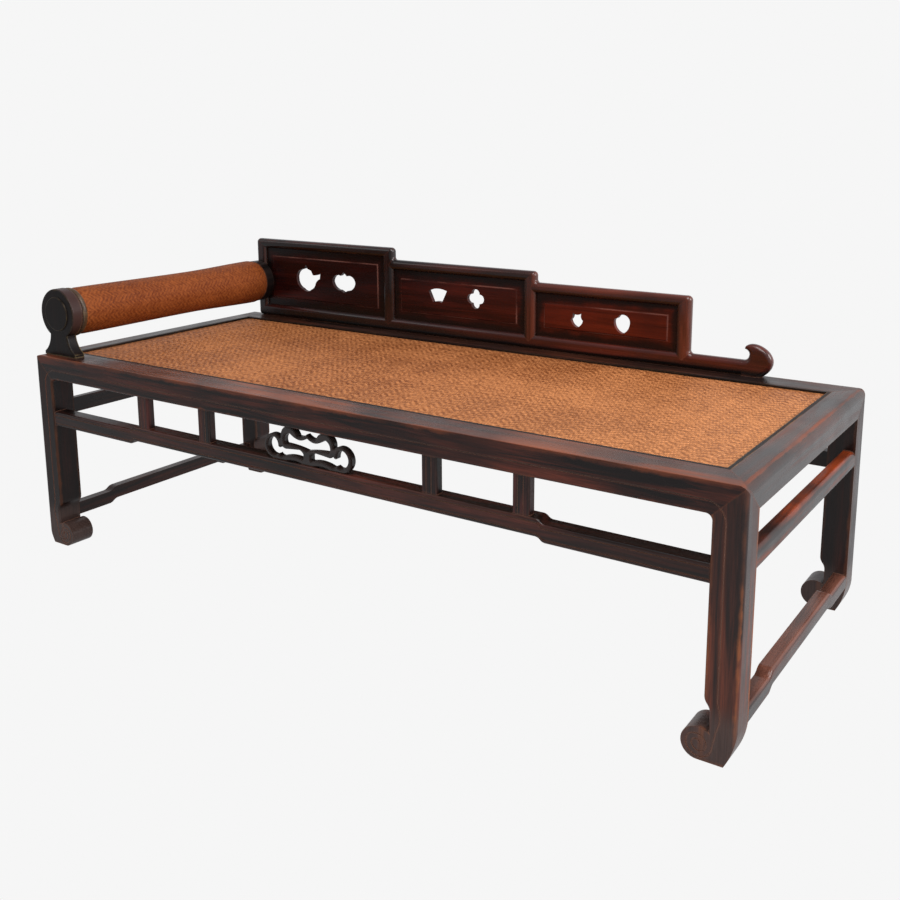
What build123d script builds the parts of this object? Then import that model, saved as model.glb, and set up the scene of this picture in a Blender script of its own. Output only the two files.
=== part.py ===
from build123d import *
from math import cos, pi, radians, sin, sqrt
import os

os.makedirs("parts", exist_ok=True)

# Luohan daybed, in millimetres. X runs along the bed from the head (-X) to the foot (+X),
# Y from the front (-Y) to the back (+Y), Z up from the floor. The origin lies on the floor
# under the middle of the seat frame.

# Overall
length = 1886
depth = 786
seat_height = 510

# Legs and their scroll feet
leg_width = 60
leg_depth = 63
arris_radius = 11
ankle_width = 49
ankle_top = 93
knee_height = 123
scroll_radius = 31
scroll_inset = 67.5
toe_height = 64
toe_inset = 20
toe_bulge = 6
scroll_turns = 2
scroll_border = 4.5

# Seat frame: three-way mitred corners, a rounded arris along the top of both ends
rail_height = 59
end_rail_height = 55
end_rail_width = 56
long_rail_width = 71
end_arris_radius = 17
front_arris_radius = 2
spandrel_radius = 12
bead_radius = 5
line_height = 25
line_width = 2.4
line_depth = 1.6

# Woven seat
ledge_width = 10
ledge_drop = 20
board_thickness = 10
mat_thickness = 5
lath_width = 9
seat_clearance = 0.5
brace_width = 45
brace_spacing = 470

# Mortises and tenons
tenon_thickness = 12
tenon_shoulder = 8
tenon_length = 30
tenon_gap = 1
joint_clearance = 0.2

# Long stretchers with a raised middle, front and back
stretcher_height = 37
stretcher_depth = 36
stretcher_setback = 3
hump_rise = 9
hump_half_length = 558
hump_step = 22
pattern_shift = -14
stretcher_line_inset = 8

# Struts between the long stretchers and the seat frame
strut_height = 78
strut_width = 37
strut_depth = 20
strut_setback = 5
outer_strut = 527
inner_strut = 317.5

# Openwork cloud under the middle of the front rail
cloud_shift = -4
cloud_half_width = 124
cloud_thickness = 15
cloud_round = 3.5
cloud_trim = 1.4

# Side stretchers
upper_side_drop = 71
upper_side_height = 40
upper_side_width = 26
floor_side_bottom = 56
floor_side_height = 34
floor_side_width = 29
floor_side_rise = 10
floor_step_start = 175
floor_step_run = 30
upper_bead_radius = 12
floor_bead_radius = 7

# Stepped back railing
railing_thickness = 26
railing_setback = 1
railing_head_gap = 59
member_width = 36
member_round = 11
top_member_height = 28
base_rail_height = 36
step_1_length = 529
step_2_length = 465
step_3_length = 426
low_rail_length = 131
step_1_height = 239
step_2_height = 205
step_3_height = 176
step_corner_radius = 12
cove_radius = 8
hook_hollow_radius = 14
hook_length = 77
hook_height = 70
dowel_diameter = 12
dowel_length = 30
dowel_gap = 1

# Railing panels
panel_thickness = 12
panel_recess = 8
panel_border = 24
panel_field_rise = 3
panel_tongue = 7
groove_clearance = 0.3
cutout_chamfer = 1.2

# Bolster
bolster_inset = 69
bolster_axis_height = 109
end_board_front = 25
end_board_thickness = 28
end_board_radius = 64.5
neck_half_width = 34
neck_height = 54
base_half_width = 62
base_lip = 8
board_bead = 4
board_dowel_spacing = 50
medallion_radius = 44
medallion_rise = 3
front_drum_length = 7
drum_radius = 61.5
collar_length = 14
collar_radius = 63
roll_front_radius = 61
roll_middle_radius = 58.5
roll_back_radius = 64
rear_drum_length = 32
core_radius = 20
core_peg_radius = 5
core_peg_length = 12
core_clearance = 0.3


# Places worked out from the sizes above
half_length = length / 2
half_depth = depth / 2
rail_bottom = seat_height - rail_height
end_rail_bottom = seat_height - end_rail_height
ledge_top = seat_height - ledge_drop
board_top = ledge_top + board_thickness
mat_top = board_top + mat_thickness
line_inset = leg_width - line_height
hump_top = rail_bottom - strut_height
stretcher_bottom = hump_top - hump_rise - stretcher_height
upper_side_bottom = rail_bottom - upper_side_drop - upper_side_height
stretcher_front = half_depth - stretcher_setback
strut_front = half_depth - strut_setback
railing_left = -half_length + railing_head_gap
stile_2_right = railing_left + step_1_length
stile_3_right = stile_2_right + step_2_length
stile_4_right = stile_3_right + step_3_length
hook_start = stile_4_right + low_rail_length
bolster_x = -half_length + bolster_inset
railing_back = half_depth - railing_setback
railing_front = railing_back - railing_thickness
base_rail_top = seat_height + base_rail_height
front_face = Plane(origin=(-half_length, -half_depth, 0), x_dir=(1, 0, 0), z_dir=(0, -1, 0))


def save(part, name):
    """Label a finished piece and write it as a STEP file of that name."""
    part.label = name
    export_step(part, f"parts/{name}.step")


def plane_at_y(y):
    """An upright plane across the depth at y, drawn in X and Z, facing the front."""
    return Plane(origin=(0, y, 0), x_dir=(1, 0, 0), z_dir=(0, -1, 0))


def plane_at_x(x):
    """An upright plane across the length at x, drawn in Y and Z, facing the foot end."""
    return Plane(origin=(x, 0, 0), x_dir=(0, 1, 0), z_dir=(1, 0, 0))


def s_step(start, end):
    """Two equal tangent arcs that leave start and reach end both running along local X."""
    middle = ((start[0] + end[0]) / 2, (start[1] + end[1]) / 2)
    first = TangentArc(start, middle, tangent=(end[0] - start[0], 0))
    TangentArc(middle, end, tangent=first % 1)


def stepped_bar(left, right, bottom, height, rise, step_centre, half_flat, run):
    """Outline of a bar whose middle stretch is raised, joined to its ends by S-steps."""
    for level in (bottom, bottom + height):
        Line((left, level), (step_centre - half_flat - run, level))
        s_step((step_centre - half_flat - run, level), (step_centre - half_flat, level + rise))
        Line((step_centre - half_flat, level + rise), (step_centre + half_flat, level + rise))
        s_step((step_centre + half_flat, level + rise), (step_centre + half_flat + run, level))
        Line((step_centre + half_flat + run, level), (right, level))
    Line((left, bottom), (left, bottom + height))
    Line((right, bottom), (right, bottom + height))


# The outer envelope of the frame and legs: rounded upright corners, and a round-over
# along the top of each end. Every leg and rail is trimmed by it.
with BuildPart() as envelope:
    with BuildSketch(Plane.XY):
        RectangleRounded(length, depth, arris_radius)
    extrude(amount=seat_height)
    with BuildSketch(plane_at_y(0)):
        with Locations((0, seat_height / 2)):
            Rectangle(length, seat_height)
        fillet(vertices().group_by(Axis.Y)[-1], end_arris_radius)
    extrude(amount=half_depth, both=True, mode=Mode.INTERSECT)

# The top of a leg inside a three-way mitred corner: it rises to a point at the outer
# corner of the frame under two slopes, one against the long rail and one against the end.
core_reach = leg_width + 1.6 * spandrel_radius
slope = rail_height / leg_width
core_low = rail_bottom - 3 * spandrel_radius
mitre_over_front = Plane(
    origin=(-half_length, -half_depth, seat_height),
    x_dir=(0, 1, 0),
    z_dir=(rail_height, 0, leg_width),
)
mitre_over_end = Plane(
    origin=(-half_length, -half_depth, seat_height),
    x_dir=(1, 0, 0),
    z_dir=(0, end_rail_height, leg_depth),
)
with BuildPart() as corner_core:
    with BuildSketch(front_face):
        with BuildLine():
            Polyline(
                (0, seat_height),
                (0, core_low),
                (core_reach, core_low),
                (core_reach, seat_height - slope * core_reach),
                close=True,
            )
        make_face()
    extrude(amount=-leg_depth)
    split(bisect_by=mitre_over_end, keep=Keep.BOTTOM)

# The incised line on the front faces: along the rail, round the corner, down the leg with a
# bend at the knee, and into the scroll, where half circles wind it in towards the middle.
corner_line_radius = line_height + spandrel_radius
line_level = rail_bottom + line_height
ring_radius = scroll_radius - scroll_border
ring_pitch = ring_radius / (scroll_turns + 0.5)
line_ankle = line_inset - (leg_width - ankle_width) / 2
with BuildPart() as incised_line:
    with BuildSketch(front_face):
        with BuildLine() as line_path:
            knee_start = (line_inset, knee_height)
            knee_bend = ((line_inset + line_ankle) / 2, (knee_height + ankle_top) / 2)
            ring_start = (scroll_inset - ring_radius, scroll_radius)
            ring_bend = ((line_ankle + ring_start[0]) / 2, (ankle_top + scroll_radius) / 2)
            Line((half_length, line_level), (line_inset + corner_line_radius, line_level))
            TangentArc(
                (line_inset + corner_line_radius, line_level),
                (line_inset, line_level - corner_line_radius),
                tangent=(-1, 0),
            )
            Line((line_inset, line_level - corner_line_radius), knee_start)
            TangentArc(knee_start, knee_bend, tangent=(0, -1))
            ThreePointArc(
                knee_bend,
                (line_ankle, (knee_bend[1] + ring_bend[1]) / 2),
                ring_bend,
            )
            point = ring_start
            Line(ring_bend, ring_start)
            downward = 1
            for half_turn in range(2 * scroll_turns):
                reach = 2 * ring_radius - (half_turn + 0.5) * ring_pitch
                middle = (point[0] + downward * reach / 2, point[1] - downward * reach / 2)
                ThreePointArc(point, middle, (point[0] + downward * reach, point[1]))
                point = (point[0] + downward * reach, point[1])
                downward = -downward
        trace(line_path.line, line_width)
    extrude(amount=-line_depth)
    mirror(about=Plane.YZ)

# Leg at the front of the head end: straight shaft, flared knee over a scroll foot
scroll_meets_ankle = scroll_radius + sqrt(scroll_radius**2 - (scroll_inset - ankle_width) ** 2)
spandrel_low = rail_bottom - spandrel_radius
spandrel_bend = spandrel_radius * (1 - cos(pi / 4))
with BuildPart() as leg_front_head:
    with BuildSketch(front_face):
        with BuildLine():
            Line((0, seat_height), (0, toe_height))
            ThreePointArc((0, toe_height), (toe_bulge, toe_height / 2), (toe_inset, 0))
            Line((toe_inset, 0), (scroll_inset, 0))
            ThreePointArc(
                (scroll_inset, 0),
                (scroll_inset + scroll_radius, scroll_radius),
                (ankle_width, scroll_meets_ankle),
            )
            Line((ankle_width, scroll_meets_ankle), (ankle_width, ankle_top))
            knee_middle = ((ankle_width + leg_width) / 2, (ankle_top + knee_height) / 2)
            knee = TangentArc((ankle_width, ankle_top), knee_middle, tangent=(0, 1))
            TangentArc(knee_middle, (leg_width, knee_height), tangent=knee % 1)
            Line((leg_width, knee_height), (leg_width, spandrel_low))
            ThreePointArc(
                (leg_width, spandrel_low),
                (leg_width + spandrel_bend, rail_bottom - spandrel_bend),
                (leg_width + spandrel_radius, rail_bottom),
            )
            Line((leg_width + spandrel_radius, rail_bottom), (leg_width + spandrel_radius, seat_height))
            Line((leg_width + spandrel_radius, seat_height), (0, seat_height))
        make_face()
    extrude(amount=-leg_depth)
    # rounded bead down the inner front arris, from the knee into the spandrel
    inner_arris = (
        edges()
        .filter_by_position(Axis.Y, -half_depth - 0.1, -half_depth + 0.1)
        .filter_by_position(Axis.Z, knee_height - 1, rail_bottom + 1)
        .filter_by_position(Axis.X, -half_length + leg_width - 1, -half_length + leg_width + spandrel_radius + 1)
        .filter_by(lambda edge: edge.center().Z < rail_bottom)
    )
    fillet(inner_arris, bead_radius)
    split(bisect_by=mitre_over_front, keep=Keep.BOTTOM)
    split(bisect_by=mitre_over_end, keep=Keep.BOTTOM)
    add(envelope.part, mode=Mode.INTERSECT)
    add(incised_line.part, mode=Mode.SUBTRACT)
    # mortises for the long stretcher, the upper side stretcher and the floor stretcher
    with Locations(
        (
            -half_length + leg_width - tenon_length / 2,
            -stretcher_front + stretcher_depth / 2,
            stretcher_bottom + stretcher_height / 2,
        )
    ):
        Box(
            tenon_length + joint_clearance,
            tenon_thickness + 2 * joint_clearance,
            stretcher_height - 2 * tenon_shoulder + 2 * joint_clearance,
            mode=Mode.SUBTRACT,
        )
    for side_bottom, side_height, side_width in (
        (upper_side_bottom, upper_side_height, upper_side_width),
        (floor_side_bottom, floor_side_height, floor_side_width),
    ):
        with Locations(
            (
                -half_length + side_width / 2,
                -half_depth + leg_depth - tenon_length / 2,
                side_bottom + side_height / 2,
            )
        ):
            Box(
                tenon_thickness + 2 * joint_clearance,
                tenon_length + joint_clearance,
                side_height - 2 * tenon_shoulder + 2 * joint_clearance,
                mode=Mode.SUBTRACT,
            )
save(leg_front_head.part, "leg_front_head")

with BuildPart() as leg_front_foot:
    mirror(leg_front_head.part, about=Plane.YZ)
save(leg_front_foot.part, "leg_front_foot")

with BuildPart() as leg_back_head:
    mirror(leg_front_head.part, about=Plane.XZ)
save(leg_back_head.part, "leg_back_head")

with BuildPart() as leg_back_foot:
    mirror(leg_front_foot.part, about=Plane.XZ)
save(leg_back_foot.part, "leg_back_foot")

# Dowels stand half in the rail and half in what it carries
board_middle = -half_depth + end_board_front + end_board_thickness / 2
board_dowels = [
    (bolster_x + side * board_dowel_spacing / 2, board_middle, seat_height) for side in (-1, 1)
]
stile_rights = (railing_left + member_width, stile_2_right, stile_3_right, stile_4_right)
railing_middle = railing_back - railing_thickness / 2
railing_dowels = [(right - member_width / 2, railing_middle, seat_height) for right in stile_rights]
railing_dowels.append((hook_start, railing_middle, seat_height))
dowel_hole_radius = dowel_diameter / 2 + joint_clearance

# Long rail of the seat frame: moulded front, a ledge inside for the seat, mitred ends
rail_mitre = Plane(
    origin=(-half_length, -half_depth, 0),
    x_dir=(end_rail_width, long_rail_width, 0),
    z_dir=(long_rail_width, -end_rail_width, 0),
)
with BuildPart() as plain_rail:
    with BuildSketch(plane_at_x(-half_length)):
        with BuildLine():
            Polyline(
                (-half_depth, rail_bottom),
                (-half_depth, seat_height),
                (-half_depth + long_rail_width, seat_height),
                (-half_depth + long_rail_width, ledge_top),
                (-half_depth + long_rail_width + ledge_width, ledge_top),
                (-half_depth + long_rail_width + ledge_width, rail_bottom),
                close=True,
            )
        make_face()
    extrude(amount=length)
    # small quarter-round spandrels in the top corners of the opening
    with BuildSketch(plane_at_y(-half_depth)):
        with BuildLine() as spandrel_edge:
            corner_x = -half_length + leg_width
            Line((corner_x, rail_bottom + 1), (corner_x, spandrel_low))
            ThreePointArc(
                (corner_x, spandrel_low),
                (corner_x + spandrel_bend, rail_bottom - spandrel_bend),
                (corner_x + spandrel_radius, rail_bottom),
            )
            Line((corner_x + spandrel_radius, rail_bottom), (corner_x + spandrel_radius, rail_bottom + 1))
            Line((corner_x + spandrel_radius, rail_bottom + 1), (corner_x, rail_bottom + 1))
        make_face()
        mirror(about=Plane.YZ)
    extrude(amount=-leg_depth)
    lower_arris = (
        edges()
        .filter_by_position(Axis.Y, -half_depth - 0.1, -half_depth + 0.1)
        .filter_by_position(Axis.Z, spandrel_low - 1, rail_bottom + 0.1)
        .filter_by(lambda edge: abs(edge.center().X) < half_length - leg_width - 1)
    )
    fillet(lower_arris, bead_radius)
    top_arris = (
        edges()
        .filter_by(Axis.X)
        .filter_by_position(Axis.Z, seat_height - 0.1, seat_height + 0.1)
        .filter_by_position(Axis.Y, -half_depth - 0.1, -half_depth + 0.1)
    )
    fillet(top_arris, front_arris_radius)
    split(bisect_by=rail_mitre, keep=Keep.TOP)
    split(bisect_by=Plane(
        origin=(half_length, -half_depth, 0),
        x_dir=(-end_rail_width, long_rail_width, 0),
        z_dir=(-long_rail_width, -end_rail_width, 0),
    ), keep=Keep.TOP)
    add(corner_core.part, mode=Mode.SUBTRACT)
    add(mirror(corner_core.part, about=Plane.YZ, mode=Mode.PRIVATE), mode=Mode.SUBTRACT)
    add(envelope.part, mode=Mode.INTERSECT)
    add(incised_line.part, mode=Mode.SUBTRACT)

with BuildPart() as back_rail:
    mirror(plain_rail.part, about=Plane.XZ)
    with Locations(*railing_dowels):
        Cylinder(dowel_hole_radius, dowel_length, mode=Mode.SUBTRACT)
save(back_rail.part, "back_rail")

with BuildPart() as front_rail:
    add(plain_rail.part)
    with Locations(*board_dowels):
        Cylinder(dowel_hole_radius, dowel_length, mode=Mode.SUBTRACT)
save(front_rail.part, "front_rail")

for name, places in (("railing_dowels", railing_dowels), ("end_board_dowels", board_dowels)):
    with BuildPart() as dowels:
        with Locations(*places):
            Cylinder(dowel_diameter / 2, dowel_length - dowel_gap)
    save(dowels.part, name)

# End rail: same height, its top outer arris rounded over by the envelope
with BuildPart() as head_rail:
    with BuildSketch(plane_at_y(-half_depth)):
        with BuildLine():
            Polyline(
                (-half_length, end_rail_bottom),
                (-half_length, seat_height),
                (-half_length + end_rail_width, seat_height),
                (-half_length + end_rail_width, ledge_top),
                (-half_length + end_rail_width + ledge_width, ledge_top),
                (-half_length + end_rail_width + ledge_width, end_rail_bottom),
                close=True,
            )
        make_face()
    extrude(amount=-depth)
    split(bisect_by=rail_mitre, keep=Keep.BOTTOM)
    split(bisect_by=Plane(
        origin=(-half_length, half_depth, 0),
        x_dir=(end_rail_width, -long_rail_width, 0),
        z_dir=(long_rail_width, end_rail_width, 0),
    ), keep=Keep.BOTTOM)
    add(corner_core.part, mode=Mode.SUBTRACT)
    add(mirror(corner_core.part, about=Plane.XZ, mode=Mode.PRIVATE), mode=Mode.SUBTRACT)
    add(envelope.part, mode=Mode.INTERSECT)
save(head_rail.part, "head_rail")

with BuildPart() as foot_rail:
    mirror(head_rail.part, about=Plane.YZ)
save(foot_rail.part, "foot_rail")

# Long stretcher between the front legs: raised middle, tenoned into both legs
with BuildPart() as front_stretcher:
    with BuildSketch(plane_at_y(-stretcher_front)):
        with BuildLine():
            stepped_bar(
                -half_length + leg_width,
                half_length - leg_width,
                stretcher_bottom,
                stretcher_height,
                hump_rise,
                pattern_shift,
                hump_half_length,
                hump_step,
            )
        make_face()
    extrude(amount=-stretcher_depth)
    front_arrises = (
        edges()
        .filter_by_position(Axis.Y, -stretcher_front - 0.1, -stretcher_front + 0.1)
        .filter_by(lambda edge: abs(edge.center().X) < half_length - leg_width - 1)
    )
    fillet(front_arrises, bead_radius)
    # two incised lines that leave a bead along each edge
    with BuildSketch(plane_at_y(-stretcher_front)):
        for inset in (stretcher_line_inset, stretcher_height - stretcher_line_inset):
            with BuildLine() as bead_path:
                level = stretcher_bottom + inset
                left_foot = pattern_shift - hump_half_length - hump_step
                right_foot = pattern_shift + hump_half_length + hump_step
                Line((-half_length + leg_width, level), (left_foot, level))
                s_step((left_foot, level), (left_foot + hump_step, level + hump_rise))
                Line((left_foot + hump_step, level + hump_rise), (right_foot - hump_step, level + hump_rise))
                s_step((right_foot - hump_step, level + hump_rise), (right_foot, level))
                Line((right_foot, level), (half_length - leg_width, level))
            trace(bead_path.line, line_width)
    extrude(amount=-line_depth, mode=Mode.SUBTRACT)
    with Locations(
        *[
            (
                end * (half_length - leg_width + (tenon_length - tenon_gap) / 2),
                -stretcher_front + stretcher_depth / 2,
                stretcher_bottom + stretcher_height / 2,
            )
            for end in (-1, 1)
        ]
    ):
        Box(tenon_length - tenon_gap, tenon_thickness, stretcher_height - 2 * tenon_shoulder)
save(front_stretcher.part, "front_stretcher")

with BuildPart() as back_stretcher:
    mirror(front_stretcher.part, about=Plane.XZ)
save(back_stretcher.part, "back_stretcher")

# Short struts between stretcher and rail, each with a double bead down its face
strut_places = (-outer_strut, -inner_strut, inner_strut, outer_strut)
for number, place in enumerate(strut_places, start=1):
    with BuildPart() as front_strut:
        with BuildSketch(Plane.XY.offset(hump_top)):
            with Locations((pattern_shift + place, -strut_front + strut_depth / 2)):
                Rectangle(strut_width, strut_depth)
        extrude(amount=strut_height)
        upright_arrises = (
            edges().filter_by(Axis.Z).filter_by_position(Axis.Y, -strut_front - 0.1, -strut_front + 0.1)
        )
        fillet(upright_arrises, bead_radius)
        with BuildSketch(Plane.XY.offset(hump_top)):
            with Locations((pattern_shift + place, -strut_front)):
                with GridLocations(strut_width / 3, 1, 2, 1):
                    Circle(line_width / 2)
        extrude(amount=strut_height, mode=Mode.SUBTRACT)
    save(front_strut.part, f"front_strut_{number}")
    with BuildPart() as back_strut:
        mirror(front_strut.part, about=Plane.XZ)
    save(back_strut.part, f"back_strut_{number}")

# Openwork ruyi cloud: one upper lobe over two lower lobes that curl inwards. Half of the
# outline and half of each opening are drawn, then mirrored about the cloud's own middle.


def in_cloud(across, up):
    """A point of the cloud's drawing, from thousandths of its half width and of its height.
    It is drawn larger all round by the trim that is then taken off the bars."""
    high = strut_height + 2 * cloud_trim
    return (across / 1000 * (cloud_half_width + cloud_trim), up / 1000 * high - cloud_trim)


def cloud_curve(*points):
    """Arcs one after another: each takes the next two points as its middle and its end."""
    for index in range(0, len(points) - 2, 2):
        ThreePointArc(*[in_cloud(*point) for point in points[index : index + 3]])


with BuildSketch() as cloud_outline:
    with BuildLine():
        cloud_curve((0, 893), (81, 810), (194, 786), (258, 929), (371, 1000))
        Line(in_cloud(371, 1000), in_cloud(468, 1000))
        cloud_curve((468, 1000), (581, 869), (613, 655), (677, 714), (766, 738), (944, 607), (1000, 381))
        cloud_curve((1000, 381), (935, 119), (758, 0))
        Line(in_cloud(758, 0), in_cloud(500, 0))
        cloud_curve((500, 0), (306, 48), (113, 0))
        Line(in_cloud(113, 0), in_cloud(0, 0))
        Line(in_cloud(0, 0), in_cloud(0, 893))
    make_face()
    mirror(about=Plane.YZ)
    with BuildLine():
        cloud_curve((0, 738), (81, 667), (194, 643), (298, 690), (395, 786), (490, 690), (492, 510))
        cloud_curve((492, 510), (242, 490), (0, 430))
        mirror(about=Plane.YZ)
    make_face(mode=Mode.SUBTRACT)
    for side in (-1, 1):
        with BuildLine():
            Line(in_cloud(side * 100, 180), in_cloud(side * 100, 290))
            cloud_curve((side * 100, 290), (side * 138, 350), (side * 218, 368))
            cloud_curve((side * 218, 368), (side * 339, 352), (side * 468, 330))
            cloud_curve((side * 468, 330), (side * 532, 338), (side * 581, 388))
            cloud_curve((side * 581, 388), (side * 629, 335), (side * 677, 400))
            cloud_curve((side * 677, 400), (side * 702, 530), (side * 758, 600))
            cloud_curve((side * 758, 600), (side * 865, 515), (side * 895, 372))
            cloud_curve((side * 895, 372), (side * 845, 210), (side * 726, 145))
            Line(in_cloud(side * 726, 145), in_cloud(side * 653, 202))
            cloud_curve((side * 653, 202), (side * 621, 155), (side * 565, 143))
            cloud_curve((side * 565, 143), (side * 339, 214), (side * 100, 180))
        make_face(mode=Mode.SUBTRACT)

# Its face is carved round: each layer towards the front is drawn a little further in
cloud_x = pattern_shift + cloud_shift
cloud_front = -strut_front + 1
with BuildPart() as cloud_carving:
    for share in (0, 0.7, 1):
        setback = cloud_round * (1 - share)
        inset = cloud_trim + cloud_round * share**2
        layer = offset(cloud_outline.sketch, amount=-inset, kind=Kind.ARC, mode=Mode.PRIVATE)
        layer_origin = (cloud_x, cloud_front + setback, hump_top)
        with BuildSketch(Plane(origin=layer_origin, x_dir=(1, 0, 0), z_dir=(0, -1, 0))):
            add(layer)
        extrude(amount=-(cloud_thickness - setback))
save(cloud_carving.part, "cloud_carving")

# Side stretchers: a straight one at the height of the long stretchers, and one near the
# floor with a raised middle. Both are flush with the outer faces of the legs.
leg_inner_y = half_depth - leg_depth
with BuildPart() as head_side_stretcher:
    with BuildSketch(Plane.XY.offset(upper_side_bottom)):
        with Locations((-half_length + upper_side_width / 2, 0)):
            Rectangle(upper_side_width, 2 * leg_inner_y)
    extrude(amount=upper_side_height)
    outer_arrises = edges().filter_by(Axis.Y).group_by(Axis.X)[0]
    fillet(outer_arrises, upper_bead_radius)
    with Locations(
        *[
            (
                -half_length + upper_side_width / 2,
                end * (leg_inner_y + (tenon_length - tenon_gap) / 2),
                upper_side_bottom + upper_side_height / 2,
            )
            for end in (-1, 1)
        ]
    ):
        Box(tenon_thickness, tenon_length - tenon_gap, upper_side_height - 2 * tenon_shoulder)
save(head_side_stretcher.part, "head_side_stretcher")

with BuildPart() as foot_side_stretcher:
    mirror(head_side_stretcher.part, about=Plane.YZ)
save(foot_side_stretcher.part, "foot_side_stretcher")

floor_half_flat = half_depth - floor_step_start - floor_step_run
with BuildPart() as head_floor_stretcher:
    with BuildSketch(plane_at_x(-half_length)):
        with BuildLine():
            stepped_bar(
                -leg_inner_y,
                leg_inner_y,
                floor_side_bottom,
                floor_side_height,
                floor_side_rise,
                0,
                floor_half_flat,
                floor_step_run,
            )
        make_face()
    extrude(amount=floor_side_width)
    outer_arrises = (
        edges()
        .filter_by_position(Axis.X, -half_length - 0.1, -half_length + 0.1)
        .filter_by(lambda edge: abs(edge.center().Y) < leg_inner_y - 1)
    )
    fillet(outer_arrises, floor_bead_radius)
    with Locations(
        *[
            (
                -half_length + floor_side_width / 2,
                end * (leg_inner_y + (tenon_length - tenon_gap) / 2),
                floor_side_bottom + floor_side_height / 2,
            )
            for end in (-1, 1)
        ]
    ):
        Box(tenon_thickness, tenon_length - tenon_gap, floor_side_height - 2 * tenon_shoulder)
save(head_floor_stretcher.part, "head_floor_stretcher")

with BuildPart() as foot_floor_stretcher:
    mirror(head_floor_stretcher.part, about=Plane.YZ)
save(foot_floor_stretcher.part, "foot_floor_stretcher")

# Seat: a boarded bottom on the rails' ledges, the woven mat over it, laths round its edge
seat_length = length - 2 * end_rail_width
seat_depth = depth - 2 * long_rail_width
brace_places = (-brace_spacing, 0, brace_spacing)
brace_half = half_depth - long_rail_width - ledge_width
for place, name in zip(brace_places, ("seat_brace_head", "seat_brace_middle", "seat_brace_foot")):
    with BuildPart() as seat_brace:
        with BuildSketch(Plane.XY.offset(rail_bottom)):
            with Locations((place, 0)):
                Rectangle(brace_width, 2 * brace_half)
        extrude(amount=ledge_top - rail_bottom)
        chamfer(edges().filter_by(Axis.Y).group_by(Axis.Z)[0], 4)
    save(seat_brace.part, name)

with BuildPart() as seat_board:
    with BuildSketch(Plane.XY.offset(ledge_top)):
        Rectangle(seat_length - 2 * seat_clearance, seat_depth - 2 * seat_clearance)
    extrude(amount=board_thickness)
save(seat_board.part, "seat_board")

with BuildPart() as rattan_mat:
    with BuildSketch(Plane.XY.offset(board_top)):
        Rectangle(seat_length - 2 * seat_clearance, seat_depth - 2 * seat_clearance)
    extrude(amount=mat_thickness)
save(rattan_mat.part, "rattan_mat")

lath_thickness = seat_height - mat_top
lath_names = ("mat_lath_front", "mat_lath_foot", "mat_lath_back", "mat_lath_head")
corner = (seat_length / 2, seat_depth / 2)
inner = (corner[0] - lath_width, corner[1] - lath_width)
lath_outlines = (
    ((-corner[0], -corner[1]), (corner[0], -corner[1]), (inner[0], -inner[1]), (-inner[0], -inner[1])),
    ((corner[0], -corner[1]), (corner[0], corner[1]), (inner[0], inner[1]), (inner[0], -inner[1])),
    ((corner[0], corner[1]), (-corner[0], corner[1]), (-inner[0], inner[1]), (inner[0], inner[1])),
    ((-corner[0], corner[1]), (-corner[0], -corner[1]), (-inner[0], -inner[1]), (-inner[0], inner[1])),
)
for name, outline in zip(lath_names, lath_outlines):
    with BuildPart() as mat_lath:
        with BuildSketch(Plane.XY.offset(mat_top)):
            with BuildLine():
                Polyline(*outline, close=True)
            make_face()
        extrude(amount=lath_thickness)
    save(mat_lath.part, name)

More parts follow.
